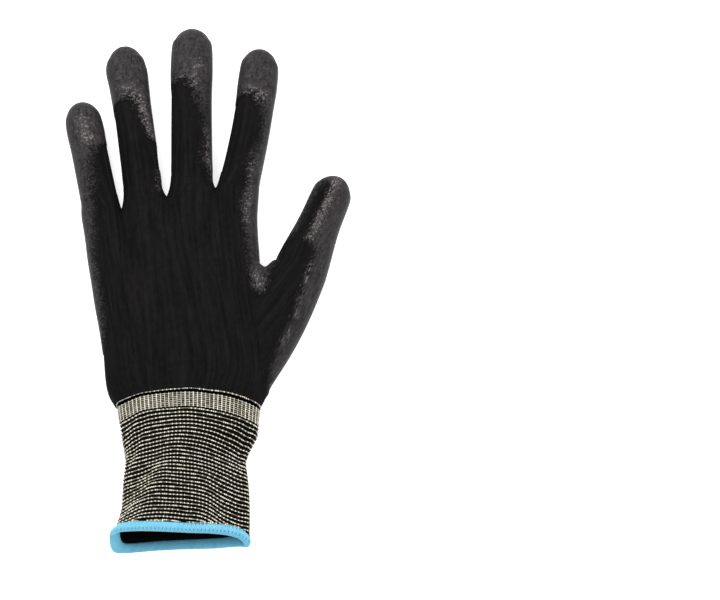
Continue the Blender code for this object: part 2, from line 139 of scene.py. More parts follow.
# lean towards the thumb in degrees, bow of the middle, and how long the tip is for its width
fingers = {
    "little": {"width": 15.2, "length": 55.0, "lean": -11.2, "bow": 0.0, "tip": 1.45},
    "ring": {"width": 16.0, "length": 78.0, "lean": -7.6, "bow": 0.3, "tip": 1.50},
    "middle": {"width": 17.3, "length": 81.0, "lean": -0.3, "bow": -0.4, "tip": 1.36},
    "index": {"width": 16.2, "length": 70.4, "lean": 8.8, "bow": 1.3, "tip": 1.40},
}
fingerShape = {
    "thickness": 14.6, "arch": 1.2, "stub": 6.0,
    # along, width, thickness
    "rows": [(0.0, 1.04, 1.12), (0.10, 1.03, 1.09), (0.20, 1.01, 1.04), (0.34, 1.00, 1.00),
             (0.48, 0.99, 0.98), (0.62, 0.99, 0.97), (0.75, 1.02, 0.96), (0.90, 1.0, 0.95)],
    "tipAngles": [15.0, 30.0, 45.0, 58.0, 70.0, 80.0], "tipCentre": 0.46, "tipSink": 0.70,
}
thumb = {
    "width": 16.4, "length": 48.8, "lean": 20.8, "bow": 0.0, "tip": 1.30, "thickness": 16.0,
    "reach": 18.0, "drop": 1.2, "ball": 1.8, "bridge": [0.18, 0.36, 0.53, 0.70, 0.85, 1.0],
    "rows": [(0.0, 1.40, 1.10), (0.13, 1.33, 1.06), (0.28, 1.22, 1.03), (0.43, 1.11, 1.00),
             (0.58, 1.04, 0.98), (0.70, 1.02, 0.96), (0.90, 1.0, 0.95)],
}
handFaces = backFaces * len(fingers)
under = 2 * handFaces + edgeFaces
pieces = ["hand", *fingers, "thumb"]
cage = {"points": [], "faces": [], "columns": [], "owners": []}


def addRing(points):
    start = len(cage["points"])
    cage["points"] += points
    return list(range(start, start + len(points)))


def addFace(corners, columns, owner):
    cage["faces"].append(corners)
    cage["columns"] += columns
    cage["owners"].append(owner)


def bridge(low, high, owner, lowV, highV, skip=()):
    for k in range(len(low)):
        n = (k + 1) % len(low)
        if k not in skip:
            columns = [(k, lowV), (k + 1, lowV), (k + 1, highV), (k, highV)]
            addFace((low[k], low[n], high[n], high[k]), columns, owner)


def pressed(up, thick):
    return max(0.0, mix(-hand["press"], thick, (1 + up) / 2))


def forkPlaces():
    roots = [one["width"] + hand["web"] * (0.5 if name in ("little", "index") else 1.0)
             for name, one in fingers.items()]
    places = [-hand["knuckleOffset"] - sum(roots) / 2]
    for root in roots:
        places.append(places[-1] + root)
    return places


def forkY(height):
    return height * hand["palmLength"] - hand["fromWrist"]


def knuckleColumns():
    places = forkPlaces()
    inset = (places[-1] - places[0]) / 2 * (1 - rounded(edgeAngle, hand["power"])[0])
    places = [places[0] + inset] + places[1:-1] + [places[-1] - inset]
    columns = []
    for k in range(handFaces + 1):
        finger = min(k // backFaces, len(fingers) - 1)
        share = k / backFaces - finger
        columns.append((mix(places[finger], places[finger + 1], share),
                        mix(hand["forks"][finger], hand["forks"][finger + 1], share)))
    return columns


def wristY(across, up):
    # the hand ends at the cuff's first pale course
    return float(courseY(0.0, (across + 1) / 2, up)) + hand["overlap"]


def handSection(along):
    bulgeLeft, bulgeRight, thickShare = rowAt(hand["rows"], along)
    places = forkPlaces()
    wide = hand["wristWidth"]
    left = mix(-wide / 2, places[0], along) - bulgeLeft * wide
    right = mix(wide / 2, places[-1], along) + bulgeRight * wide
    thick = thickShare * hand["palmThickness"]
    middle, half = (left + right) / 2, (right - left) / 2
    knuckleMiddle, knuckleHalf = (places[0] + places[-1]) / 2, (places[-1] - places[0]) / 2
    columns = knuckleColumns()
    ease = along * along * (3 - 2 * along)
    points = []
    for k, angle in enumerate(sectionAngles(handFaces)):
        across, up = rounded(angle, hand["power"])
        column = k if k <= handFaces else under - k
        if 0 <= column <= handFaces:
            place, height = columns[column]
            across = mix(across, (place - knuckleMiddle) / knuckleHalf, ease)
            if 0 < column < handFaces:
                rise = (1 - abs(across) ** hand["power"]) ** (1 / hand["power"])
                up = math.copysign(rise, up)
        else:
            height = hand["forks"][-1 if k < 2 * handFaces else 0]
        straight = mix(-hand["fromWrist"], forkY(height), along)
        y = straight + (wristY(across, up) + hand["fromWrist"]) * (1 - along) ** hand["wristFade"]
        points.append((middle + across * half, y, hand["lift"] + pressed(up, thick)))
    return sunkValleys(points, along, thick)


def sunkValleys(points, along, thick):
    depth = max(0.0, (along - hand["valleyStart"]) / (1 - hand["valleyStart"])) ** 2
    middle = hand["lift"] + thick / 2
    for fork in range(1, len(fingers)):
        for k, side in ((fork * backFaces, 1), (under - fork * backFaces, -1)):
            x, y, z = points[k]
            z = mix(z, middle + side * hand["forkSpan"] * thick / 2, depth)
            points[k] = (x, y - hand["forkSag"] * depth, z)
    return points


def fingerSection(root, one, share, wide, thick, faces):
    lean = math.radians(one["lean"])
    swing = math.sin(math.pi * share)
    bow = one["bow"] * swing
    x = root[0] + math.sin(lean) * share * one["length"] + math.cos(lean) * bow
    y = root[1] + math.cos(lean) * share * one["length"] - math.sin(lean) * bow
    z = hand["lift"] + fingerShape["arch"] * swing
    points = []
    for angle in sectionAngles(faces):
        side, up = rounded(angle, hand["power"])
        out = side * wide / 2
        points.append((x + math.cos(lean) * out, y - math.sin(lean) * out, z + pressed(up, thick)))
    return points


def tipSection(root, one, angle, wide, thick, faces):
    turn = math.radians(angle)
    share = 1 - one["tip"] * wide / 2 * (1 - math.sin(turn)) / one["length"]
    middle = hand["lift"] + fingerShape["tipCentre"] * thick
    sink = math.cos(turn) ** fingerShape["tipSink"]
    return [(x, y, mix(middle, z, sink)) for x, y, z in
            fingerSection(root, one, share, wide * math.cos(turn), thick, faces)]


def addCap(ring, one, owner, left, startV, faces):
    # closes a fingertip with a grid of faces
    points = cage["points"]
    top, right = ring[:faces + 1], ring[faces:faces + edgeFaces + 1]
    bottom = ring[faces + edgeFaces:2 * faces + edgeFaces + 1][::-1]
    far = (ring[2 * faces + edgeFaces:] + ring[:1])[::-1]
    lean = math.radians(one["lean"])
    ahead = Vector((math.sin(lean), math.cos(lean), 0)) * left
    grid = [top]
    for i in range(1, edgeFaces):
        row = [far[i]]
        for j in range(1, faces):
            s, t = j / faces, i / edgeFaces
            down = Vector(points[top[j]]).lerp(Vector(points[bottom[j]]), t)
            over = Vector(points[far[i]]).lerp(Vector(points[right[i]]), s)
            rise = 1 - ((2 * s - 1) ** 2 + (2 * t - 1) ** 2) / 2
            row += addRing([tuple((down + over) / 2 + ahead * rise)])
        grid.append(row + [right[i]])
    grid.append(bottom)
    for i, (upper, lower) in enumerate(zip(grid, grid[1:])):
        for j in range(faces):
            high, low = startV + min(i, edgeFaces - i), startV + min(i + 1, edgeFaces - i - 1)
            addFace((upper[j], upper[j + 1], lower[j + 1], lower[j]),
                    [(j, high), (j + 1, high), (j + 1, low), (j, low)], owner)


def addFinger(name, one, loop, root, rootV, stub, rows, thickness, faces):
    owner = pieces.index(name)
    length, previous, previousV = one["length"], loop, rootV
    shares = [row[0] for row in rows[2 if name != "thumb" else 1:-1]]
    shares = [stub] + [value for a, b in zip([stub] + shares, shares) for value in ((a + b) / 2, b)]
    for k, share in enumerate(shares):
        wide, deep = rowAt(rows, share)
        ring = addRing(fingerSection(root, one, share, wide * one["width"], deep * thickness, faces))
        v = rootV + share * length
        bridge(previous, ring, owner if k else 0, previousV, v)
        previous, previousV = ring, v
    wide, deep = rowAt(rows, shares[-1])
    for angle in fingerShape["tipAngles"]:
        ring = addRing(tipSection(root, one, angle, wide * one["width"], deep * thickness, faces))
        left = one["tip"] * one["width"] / 2 * (1 - math.sin(math.radians(angle)))
        v = rootV + length - left
        bridge(previous, ring, owner, previousV, v)
        previous, previousV = ring, v
    addCap(previous, one, owner, left, v, faces)


def addFork(upper, lower, height):
    high, low = Vector(cage["points"][upper]), Vector(cage["points"][lower])
    inner = []
    for k in range(1, edgeFaces):
        place = high.lerp(low, k / edgeFaces)
        away = abs(2 * k / edgeFaces - 1)
        place.y = mix(forkY(height), (high.y + low.y) / 2, away ** 2)
        inner += addRing([tuple(place)])
    return [upper] + inner + [lower]


def addHand():
    thumbLow, thumbFork = hand["thumbRows"]
    rowPlaces = [row[0] for row in hand["rows"]]
    alongs = rowPlaces[:1] + [value for a, b in zip(rowPlaces, rowPlaces[1:]) for value in ((a + b) / 2, b)]
    rings = [addRing(handSection(along)) for along in alongs]
    low, fork = alongs.index(thumbLow), alongs.index(thumbFork)
    for row in range(len(rings) - 1):
        hole = range(handFaces, handFaces + edgeFaces) if low <= row < fork else ()
        bridge(rings[row], rings[row + 1], 0, alongs[row] * hand["palmLength"],
               alongs[row + 1] * hand["palmLength"], hole)
    top = rings[-1]
    forks = [[top[0]] + top[:under - 1:-1]]
    for k in range(1, len(fingers)):
        forks.append(addFork(top[k * backFaces], top[under - k * backFaces], hand["forks"][k]))
    forks.append(top[handFaces:handFaces + edgeFaces + 1])
    places = forkPlaces()
    for k, (name, one) in enumerate(fingers.items()):
        start = k * backFaces
        loop = (top[start:start + backFaces] + forks[k + 1][:-1]
                + top[under - start - backFaces:under - start] + forks[k][:0:-1])
        height = (hand["forks"][k] + hand["forks"][k + 1]) / 2
        root = ((places[k] + places[k + 1]) / 2, forkY(height))
        addFinger(name, one, loop, root, height * hand["palmLength"], fingerShape["stub"] / one["length"],
                  fingerShape["rows"], fingerShape["thickness"], backFaces)
    addThumb(rings, low, fork)


def addThumb(rings, low, fork):
    corner = handFaces + edgeFaces
    faces = fork - low
    back = [rings[r][handFaces] for r in range(fork, low, -1)]
    palm = [rings[r][corner] for r in range(low, fork)]
    loop = back + rings[low][handFaces:corner] + palm + rings[fork][corner:handFaces:-1]
    forkPoint = cage["points"][rings[fork][handFaces + edgeFaces // 2]]
    root = (forkPoint[0] + thumb["reach"], forkPoint[1] - thumb["drop"])
    _, wide, deep = thumb["rows"][0]
    end = fingerSection(root, thumb, 0.0, wide * thumb["width"], deep * thumb["thickness"], faces)
    start = [cage["points"][k] for k in loop]
    lean = math.radians(thumb["lean"])
    previous, previousV = loop, 0.0
    for share in thumb["bridge"]:
        points = []
        for k, (a, b) in enumerate(zip(start, end)):
            fromOuter = (k - faces - edgeFaces / 2) / (faces + edgeFaces)
            bulge = max(0.0, math.cos(math.pi * fromOuter)) * math.sin(math.pi * share) * thumb["ball"]
            x, y, z = (mix(p, q, share) for p, q in zip(a, b))
            points.append((x + math.cos(lean) * bulge, y - math.sin(lean) * bulge, z))
        ring = addRing(points)
        v = share * thumb["reach"]
        bridge(previous, ring, pieces.index("thumb"), previousV, v)
        previous, previousV = ring, v
    addFinger("thumb", thumb, previous, root, thumb["reach"], fingerShape["stub"] / 2 / thumb["length"],
              thumb["rows"], thumb["thickness"], faces)


# The cuff: its courses are pulled out of line, so each hangs below its middle by its own amounts
cuff = {
    "top": -50.8, "thickness": 20.0, "length": 58.8, "wales": 158,
    "across": [0.0, 0.04, 0.09, 0.15, 0.20, 0.25, 0.32, 0.40, 0.49, 0.66, 0.82, 0.94, 1.0],
    # depth below the first pale course, then how far the course hangs at each place across
    "courses": [
        (0.0, [4.0, 3.7, 3.0, 2.0, 1.4, 1.1, 0.7, 0.3, 0.0, 0.8, 2.3, 4.2, 5.2]),
        (9.2, [5.0, 4.8, 3.7, 2.0, 1.3, 1.0, 0.6, 0.3, 0.0, 1.2, 3.3, 5.4, 6.3]),
        (19.5, [6.2, 5.4, 3.5, 2.3, 1.9, 1.3, 0.7, 0.1, 0.0, 1.7, 4.5, 6.5, 6.8]),
        (29.9, [3.6, 3.5, 3.2, 2.7, 2.2, 1.7, 0.4, -0.3, 0.0, 1.5, 4.3, 6.5, 6.7]),
        (37.2, [4.7, 4.6, 4.3, 3.5, 2.3, 0.7, -0.5, -0.4, 0.0, 1.3, 5.1, 7.2, 7.0]),
        (44.5, [4.8, 4.5, 3.7, 2.1, 0.3, -0.5, -0.8, -0.4, 0.0, 1.5, 5.9, 7.7, 7.5]),
        (51.5, [5.0, 4.3, 2.4, 0.8, -0.1, -0.4, -0.3, -0.2, 0.0, 1.6, 6.1, 8.0, 7.8]),
        (58.6, [4.2, 3.2, 2.0, 0.4, 0.0, -0.2, -0.5, -0.4, 0.0, 1.1, 5.8, 8.0, 8.0]),
    ],
    # along, left, right, thickness left, thickness right, power
    "rows": [
        (0.00, -0.490, 0.507, 1.01, 1.01, 2.5), (0.13, -0.475, 0.497, 1.00, 0.98, 2.3),
        (0.26, -0.455, 0.487, 0.98, 0.92, 2.7), (0.35, -0.440, 0.446, 0.97, 0.86, 2.9),
        (0.45, -0.428, 0.411, 0.96, 0.80, 2.7), (0.58, -0.436, 0.420, 0.96, 0.78, 2.3),
        (0.72, -0.444, 0.432, 0.98, 0.74, 2.5), (0.86, -0.450, 0.436, 1.00, 0.68, 2.8),
        (1.00, -0.485, 0.436, 1.02, 0.60, 3.1),
    ],
    # across, how far the mouth hangs there on the back and underneath
    "mouth": [
        (0.00, 0.0, 6.2), (0.10, 0.0, 5.1), (0.27, 0.0, 3.5), (0.46, 0.1, 2.7), (0.60, 0.1, 2.4),
        (0.76, -0.2, 2.1), (0.88, 0.1, 1.8), (0.96, 1.3, 2.2), (1.00, 3.0, 3.2),
    ],
    "start": 1.0, "firstRow": 9.27, "pitch": 1.76, "rowCourses": 32, "rib": 0.22, "ribStart": 1.0,
    "wall": 1.6, "flatWidth": 60, "sag": 0.1, "lowest": 0.05, "foldFade": 0.5, "tuck": 0.5, "tuckLength": 1.2,
    "perCourse": 4, "innerRings": 24,
    # where the back passes into the underside, at the mouth and above it
    "mouthTurn": (-0.25, 0.60), "underTurn": (-0.30, 0.10),
    # a plain section for spacing the wales evenly
    "even": {"half": 29, "rise": 9, "lowest": -8.6, "power": 2.6, "steps": 1440},
    # folds: place across and depth below the first course of both ends, how deep and how wide
    "folds": [
        ((0.17, 11.0), (0.02, 31.5), 0.9, 1.6),
        ((0.31, 35.0), (0.08, 60.0), 0.5, 4.0),
        ((0.70, 34.0), (0.86, 60.0), 0.4, 4.0),
        ((0.93, 12.0), (0.97, 30.0), 0.7, 2.0),
    ],
}
cuff["end"] = cuff["firstRow"] + cuff["rowCourses"] * cuff["pitch"]
cuffRows = np.array(cuff["rows"])
mouthRows = np.array(cuff["mouth"])
dropTable = np.array([row for _, row in cuff["courses"]])
dropDepths = np.array([depth for depth, _ in cuff["courses"]])


def courseDrop(depth, side):
    across = np.array(cuff["across"])
    columns = [tableAt(np.stack([across, row], axis=-1), side, 1) for row in dropTable]
    k = int(np.clip(np.searchsorted(dropDepths, depth, "right") - 1, 0, len(dropDepths) - 2))
    t = np.clip((depth - dropDepths[k]) / (dropDepths[k + 1] - dropDepths[k]), 0, 1)
    return mix(columns[k], columns[k + 1], t)


def mouthY(side, up):
    # where the cloth ends at the mouth: the lower wall stands out
    back, under = (tableAt(mouthRows, side, k) for k in (1, 2))
    return -hand["fromWrist"] - cuff["length"] - mix(back, under, smooth(*cuff["mouthTurn"], -up))


def courseY(depth, side, up):
    # on the back as the table says, underneath evenly from the wrist to the mouth
    over = cuff["top"] - depth - courseDrop(depth, side)
    start = cuff["top"] - mix(dropTable[0][0], dropTable[0][-1], side)
    below = mix(start, mouthY(side, up), min(1.0, depth / cuff["end"]))
    return np.maximum(mix(below, over, smooth(*cuff["underTurn"], up)), mouthY(side, up))


def cuffShape(depth, across, up):
    # points of the cuff's outside at places round its section
    side = (1 + across) / 2
    y = courseY(depth, side, up)
    along = np.clip((-hand["fromWrist"] - y) / cuff["length"], 0, 1)
    left, right = (tableAt(cuffRows, along, k) * hand["wristWidth"] for k in (1, 2))
    thick = mix(tableAt(cuffRows, along, 3), tableAt(cuffRows, along, 4), side) * cuff["thickness"]
    z = np.maximum(hand["lift"] - cuff["sag"], hand["lift"] + mix(-hand["press"], thick, (1 + up) / 2))
    return np.stack([mix(left, right, side), y, z], axis=-1)


def evenTurns(count):
    # angles round the cuff's section that are evenly far apart on the cloth, from the left over the back
    even = cuff["even"]
    dense = np.radians(180 - np.linspace(0, 360, even["steps"] + 1))
    across, up = (np.sign(v) * np.abs(v) ** (2 / even["power"]) for v in (np.cos(dense), np.sin(dense)))
    points = np.stack([across * even["half"], np.maximum(up * even["rise"], even["lowest"])], axis=-1)
    run = np.concatenate([[0], np.cumsum(np.linalg.norm(np.diff(points, axis=0), axis=1))])
    places = np.interp(np.arange(count) / count * run[-1], run, np.arange(len(dense)))
    k = places.astype(int)
    return mix(across[k], across[k + 1], places - k), mix(up[k], up[k + 1], places - k)


addHand()
print("hand laid out")


def handMesh(points, levels):
    # the cage made smooth
    mesh = bpy.data.meshes.new("cage")
    mesh.from_pydata(points * mm, [], cageFaces)
    knit = mesh.uv_layers.new(name="knit")
    knit.data.foreach_set("uv", np.array(cage["columns"], float).ravel())
    owner = mesh.attributes.new("owner", "INT", "FACE")
    owner.data.foreach_set("value", cage["owners"])
    made = placed("cage", mesh)
    rounder = made.modifiers.new("rounder", "SUBSURF")
    rounder.levels = levels
    rounder.uv_smooth = "NONE"
    seen = made.evaluated_get(bpy.context.evaluated_depsgraph_get())
    result = bpy.data.meshes.new_from_object(seen)
    bpy.data.objects.remove(made)
    bpy.data.meshes.remove(mesh)
    return result


def readVectors(items, key):
    values = np.empty(len(items) * 3)
    items.foreach_get(key, values)
    return values.reshape(-1, 3)


rounding = {"levels": 3, "fits": 3, "fitShare": 0.9}  # the cage is moved until its smooth form fits
used = sorted({corner for face in cage["faces"] for corner in face})
number = {old: new for new, old in enumerate(used)}
cagePoints = np.array([cage["points"][k] for k in used])
cageFaces = [tuple(number[k] for k in face) for face in cage["faces"]]
moved = cagePoints.copy()
for _ in range(rounding["fits"]):
    trial = handMesh(moved, 1)
    fitted = readVectors(trial.vertices, "co")[:len(cagePoints)] / mm
    moved += (cagePoints - fitted) * rounding["fitShare"]
    bpy.data.meshes.remove(trial)
cloth = handMesh(moved, rounding["levels"])
points, normals = readVectors(cloth.vertices, "co") / mm, readVectors(cloth.vertex_normals, "vector")
quads = np.empty(len(cloth.polygons) * 4, int)
cloth.loops.foreach_get("vertex_index", quads)
quads = quads.reshape(-1, 4)
knitPlaces = np.empty(len(quads) * 8)
cloth.uv_layers["knit"].data.foreach_get("uv", knitPlaces)
knitPlaces = knitPlaces.reshape(-1, 4, 2)
owners = np.empty(len(quads), int)
cloth.attributes["owner"].data.foreach_get("value", owners)
print("hand rounded", len(quads), points.min(0), points.max(0))

# The dip covers the palm side and comes round the edges. Places on the back are given as seen from
# the camera's height: the point of the floor that they hide.
dip = {
    "thickness": 0.28, "sunk": -0.05, "edge": 0.7, "fringe": 2.2, "tipMargin": 2.6, "lowest": 0.02,
    "far": 6, "turn": (-0.25, 0.15), "columnsWide": 5.2, "rootFade": 7,
    "wander": [(0.22, 0.6), (0.9, 0.3)],  # how fine and how large the edge's waves are
    "knitUnder": 3.0,  # how far the knit goes on under the dip
    "bare": [
        (-50, -80), (-50, -25.6), (-38.5, -25.2), (-37.6, -22.8), (-37.3, -12.6), (-38.7, 1.0),
        (-41.7, 21.4), (-42.4, 39.0), (-42.9, 51.0), (-43.0, 85.0), (-15.0, 85.0), (-14.6, 60.0),
        (-13.6, 54.0), (-12.2, 53.0), (-11.4, 57.0), (-11.4, 85.0), (8.4, 85.0), (9.0, 66.0),
        (10.2, 58.0), (11.4, 56.0), (13.0, 58.0), (13.0, 85.0), (32.0, 85.0), (30.6, 78.0),
        (27.3, 71.9), (26.4, 64.8), (25.2, 56.4), (23.6, 48.0), (24.9, 34.9), (26.7, 19.4),
        (27.6, 12.1), (29.0, 6.3), (33.0, 3.4), (35.3, 4.9), (35.7, 9.7), (36.6, 14.1),
        (39.3, 18.4), (42.5, 29.1), (45.6, 30.1), (48.8, 34.0), (51.5, 39.8), (55.1, 47.6),
        (58.2, 53.4), (60.9, 57.3), (63.6, 56.6), (63.2, 53.4), (60.5, 47.1), (57.7, 40.8),
        (55.0, 34.5), (53.0, 29.6), (56.0, 26.2), (56.7, 23.3), (55.5, 20.4), (53.5, 14.6),
        (51.5, 8.7), (49.7, 0.2), (43.2, -16.8), (37.5, -31.1), (35.3, -43.7), (36.6, -48.5),
        (45.0, -55.0), (45.0, -80.0),
    ],
    # where the dip ends under the palm: x, y
    "palmEnd": [(-38.5, -26.0), (-35.0, -36.0), (-30.0, -43.0), (-15.0, -47.5), (0.0, -49.0),
                (20.0, -50.0), (32.0, -50.0), (38.0, -46.0)],
    # bare knit on the backs of the fingers: from the tip, left and right share of half the width
    "little": [(18, 1.00, 1.03), (22, 0.45, 1.2), (27, 0.0, 1.2), (33, -0.1, 1.2), (45, -0.3, 1.2),
               (60, -0.55, 1.2)],
    "ring": [(25, -0.32, 0.1), (27, -0.9, 0.22), (31, -1.2, 0.22), (36, -1.2, 0.32), (41, -1.2, 0.5),
             (46, -1.2, 0.66), (49, -1.2, 1.1), (59, -1.2, 1.2), (61, -1.2, 0.8), (69, -1.2, 0.75),
             (71, -1.2, 1.2)],
    "middle": [(24.4, -0.9, -0.3), (25.5, -1.1, -0.1), (30.7, -1.2, 0.18), (42, -1.2, 0.56),
               (53.7, -1.2, 0.66), (65, -1.2, 0.62), (75.5, -1.2, 0.72), (80, -1.2, 0.8)],
    "index": [(21.5, -0.3, 0.1), (23.5, -0.8, 0.2), (26.7, -1.2, 0.3), (35, -1.2, 0.65),
              (44, -1.2, 0.65), (50.8, -1.2, 0.37), (58, -1.2, 0.40), (67, -1.2, 0.42), (76, -1.2, 0.40)],
}
# share of half the width at each column of a finger, on its left edge, back and right edge
shareOfColumn = ([-4, -2, -1, 0, 1, 2, 3, 4, 5, 6, 8],
                 [-1.2, -1.0, -0.973, -0.891, -0.574, 0.0, 0.574, 0.891, 0.973, 1.0, 1.2])
palmMiddle = backFaces + edgeFaces + backFaces / 2 + 0.01


def nearLine(x, y, start, end):
    # distance from a line, which grows past its ends, and the nearest place along it
    dx, dy = end[0] - start[0], end[1] - start[1]
    t = np.clip(((x - start[0]) * dx + (y - start[1]) * dy) / (dx * dx + dy * dy), 0, 1)
    return np.hypot(x - start[0] - t * dx, y - start[1] - t * dy), t


def insideBy(x, y, outline):
    # how far points lie inside an outline, negative outside
    outline = np.array(outline, float)
    ends = np.roll(outline, -1, axis=0)
    away = np.full(len(x), 1e9)
    inside = np.zeros(len(x), bool)
    for (ax, ay), (bx, by) in zip(outline, ends):
        away = np.minimum(away, nearLine(x, y, (ax, ay), (bx, by))[0])
        crosses = (ay > y) != (by > y)
        with np.errstate(divide="ignore", invalid="ignore"):
            inside ^= crosses & (x < (bx - ax) * (y - ay) / (by - ay) + ax)
    return np.where(inside, away, -away)


def fbm(spots, scale):
    # soft noise at each point
    return np.array([noise.fractal(Vector(spot) * scale, 1.0, 2.0, 3) for spot in spots])


def coatedBy(points, normals, quads, owners, knitPlaces):
    # how far each point lies from the dip's edge, in mm: more than nought where it is coated
    x, y, z = points.T
    back = -insideBy(x, y + z * sightSlope, dip["bare"])
    palm = y - np.interp(x, *zip(*dip["palmEnd"]))
    far = dip["far"]
    field = mix(np.clip(palm, -far, far), np.clip(back, -far, far), smooth(*dip["turn"], normals[:, 2]))
    corner = field[quads]
    for owner, (name, one) in enumerate(fingers.items(), 1):
        which = owners == owner
        column, along = knitPlaces[which, :, 0], knitPlaces[which, :, 1]
        root = (hand["forks"][owner - 1] + hand["forks"][owner]) / 2 * hand["palmLength"]
        fromTip = one["length"] - (along - root) - dip["tipMargin"]
        # columns past the middle of the palm side count backwards from the left edge
        column = np.where(column > palmMiddle, column - 2 * (backFaces + edgeFaces), column)
        rows = np.array(dip[name], float)
        columns, shares = shareOfColumn
        left, right = (np.interp(fromTip, rows[:, 0], np.interp(rows[:, k], shares, columns)) for k in (1, 2))
        pitch = one["width"] / dip["columnsWide"]
        sides = np.maximum(left - column, column - right) * pitch
        tip = rows[0, 0] - fromTip
        own = np.where(tip > 0, np.maximum(sides, 0) + tip, np.maximum(sides, tip))
        share = smooth(0, dip["rootFade"], along - root - fingerShape["stub"])
        corner[which] = mix(corner[which], np.clip(own, -far, far), share)
    total = np.bincount(quads.ravel(), corner.ravel(), len(points))
    field = total / np.bincount(quads.ravel(), minlength=len(points))
    return field + dip["fringe"] + sum(fbm(points, fine) * size for fine, size in dip["wander"])


# outwards from the cage, height over the floor, the sag between thumb and hand, and soft unevenness
cloths = {
    "plump": 0.5, "lowest": 0.3, "crotch": (34.4, 14.0), "crotchSize": (3.0, 7.0), "crotchSag": 3.4,
    "soft": 0.45, "softScale": 0.09, "softStretch": [1.0, 0.35, 1.0], "backStarts": (0.1, 0.6),
    "grainStarts": (-0.1, 0.2), "creaseEnds": (0.15, 0.1),
}
# creases on the back, as seen from the camera's height: start, end, lift and width
creases = [
    ((66.0, 57.0), (54.0, 29.8), 0.75, 1.6),
    ((61.0, 54.0), (54.0, 36.0), -0.75, 1.8),
    ((54.5, 29.5), (56.5, 27.0), -0.6, 1.0),
    ((-28.0, -10.0), (-27.0, -42.0), -0.5, 3.5),
    ((-14.0, 20.0), (-17.0, -30.0), 0.35, 4.0),
    ((2.0, 28.0), (4.0, -5.0), -0.35, 4.0),
    ((16.0, 24.0), (14.0, -38.0), 0.35, 4.5),
    ((34.0, -20.0), (33.5, -46.0), -0.7, 2.2),
    ((28.0, -30.0), (29.0, -46.0), 0.35, 2.5),
    ((-32.0, -30.0), (-26.0, -47.0), 0.4, 2.5),
]
# where dipped tips stand out from the fingers, as seen from the camera's height: x, y, size and push
swells = [(-36.5, 111.0, 5.5, 0.8), (-18.5, 111.5, 5.0, 0.45)]
# pale grains of the dip, partly painted highlight on the raised stitches, as seen from the camera's height:
# start, end, width and share
grains = [
    ((-48.8, 87.5), (-45.8, 79.5), 4.0, 0.66),
    ((-28.0, 103.0), (-25.0, 98.5), 4.5, 0.55),
    ((-22.6, 99.1), (-17.4, 78.5), 2.2, 1.0),
    ((-15.0, 62.0), (-13.8, 53.0), 1.8, 0.6),
    ((-4.2, 105.2), (1.2, 107.0), 3.6, 0.75),
    ((1.2, 107.0), (3.0, 117.0), 3.0, 0.55),
    ((7.4, 82.5), (9.8, 57.4), 2.0, 0.55),
    ((27.6, 101.9), (32.5, 99.5), 3.4, 0.75),
    ((28.5, 65.5), (25.8, 37.9), 2.2, 0.55),
    ((30.3, 12.1), (33.9, 4.5), 3.4, 0.52),
    ((66.2, 57.3), (54.0, 29.6), 2.5, 0.92),
    ((54.5, 17.5), (49.5, -2.0), 2.0, 0.5),
    ((49.5, -2.0), (43.0, -24.0), 2.0, 0.4),
]


def asSeen(points):
    return points[:, 0], points[:, 1] + points[:, 2] * sightSlope


def grainShare(points, normals):
    x, y = asSeen(points)
    share = np.zeros(len(points))
    for start, end, wide, most in grains:
        away, _ = nearLine(x, y, start, end)
        share = np.maximum(share, most * np.exp(-(away / wide) ** 2))
    return share * smooth(*cloths["grainStarts"], normals[:, 2])


def creased(points, normals):
    x, y = asSeen(points)
    onBack = smooth(*cloths["backStarts"], normals[:, 2])
    lift = np.zeros(len(points))
    for start, end, height, wide in creases:
        away, t = nearLine(x, y, start, end)
        ends = smooth(0, cloths["creaseEnds"][0], t) * smooth(0, cloths["creaseEnds"][1], 1 - t)
        lift += height * np.exp(-(away / wide) ** 2) * ends
    soft = fbm(points * cloths["softStretch"], cloths["softScale"]) * cloths["soft"]
    return points + normals * ((lift + soft) * onBack)[:, None]


points = creased(points, normals) + normals * cloths["plump"]
for x, y, size, push in swells:
    seenX, seenY = asSeen(points)
    away = np.hypot(seenX - x, seenY - y)
    points += normals * (push * np.exp(-(away / size) ** 2))[:, None]
fromCrotch = (points[:, :2] - cloths["crotch"]) / cloths["crotchSize"]
points[:, 1] -= cloths["crotchSag"] * np.exp(-(fromCrotch ** 2).sum(axis=1))
points[:, 2] = np.maximum(points[:, 2], cloths["lowest"])
cloth.vertices.foreach_set("co", (points * mm).ravel())
cloth.update()
normals = readVectors(cloth.vertex_normals, "vector")
coated = coatedBy(points, normals, quads, owners, knitPlaces)
print("dip laid")


def cutAbove(values, wanted):
    # the part of the wanted cloth where the values are above nought, cut along the line between
    inside = values[quads] > 0
    spots, faces, places = list(points), [], []
    ups, fields = list(normals), list(coated)
    for k in np.nonzero(wanted & inside.all(axis=1))[0]:
        faces.append(tuple(quads[k]))
        places.extend(knitPlaces[k])
    made = {}
    for k in np.nonzero(wanted & inside.any(axis=1) & ~inside.all(axis=1))[0]:
        corners = []
        for a in range(4):
            b = (a + 1) % 4
            va, vb = quads[k, a], quads[k, b]
            if inside[k, a]:
                corners.append((va, knitPlaces[k, a]))
            if inside[k, a] != inside[k, b]:
                share = values[va] / (values[va] - values[vb])
                edge = (min(va, vb), max(va, vb))
                if edge not in made:
                    made[edge] = len(spots)
                    spots.append(mix(points[va], points[vb], share))
                    ups.append(mix(normals[va], normals[vb], share))
                    fields.append(mix(coated[va], coated[vb], share))
                corners.append((made[edge], mix(knitPlaces[k, a], knitPlaces[k, b], share)))
        faces.append(tuple(corner for corner, _ in corners))
        places.extend(place for _, place in corners)
    keep = sorted({corner for face in faces for corner in face})
    new = np.zeros(len(spots), int)
    new[keep] = range(len(keep))
    faces = [tuple(new[list(face)]) for face in faces]
    return np.array(spots)[keep], np.array(ups)[keep], np.array(fields)[keep], faces, np.array(places)


